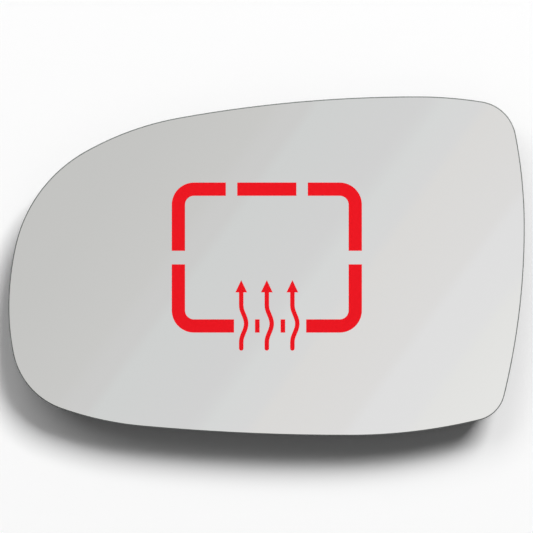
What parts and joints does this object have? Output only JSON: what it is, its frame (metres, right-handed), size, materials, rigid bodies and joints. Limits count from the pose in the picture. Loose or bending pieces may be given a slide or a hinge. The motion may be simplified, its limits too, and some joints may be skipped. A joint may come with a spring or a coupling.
{
  "type": "car door mirror glass",
  "caption": "Convex heated glass of a car door mirror with a red heating sign, bonded to a moulded backing plate with a clip ring and power tabs.",
  "frame": {"origin": "on the axis of the clip ring, level with the ring's rear face, on which the part lies", "axes": "+Z out of the mirror surface, +X to the right and +Y up as one looks into the mirror"},
  "size_m": [0.168, 0.1103, 0.0163],
  "materials": {
    "mirror_glass": "polished, back coated",
    "sign_film": "printed film",
    "bond_film": "clear adhesive",
    "heater_film": "polyester film",
    "heater_track": "etched foil",
    "foam": "closed-cell foam",
    "plate_plastic": "moulded, fine grained",
    "terminal_metal": "tin plated",
    "rivet_metal": "tin plated"
  },
  "bodies": {
    "root": {"mirror_glass": "mirror_glass", "heating_sign": "sign_film", "bond_film": "bond_film", "heater_film": "heater_film", "heater_track": "heater_track", "foam_pad": "foam", "backing_plate": "plate_plastic", "upper_terminal": "terminal_metal", "lower_terminal": "terminal_metal", "upper_rivet": "rivet_metal", "lower_rivet": "rivet_metal"}
  },
  "joints": []
}
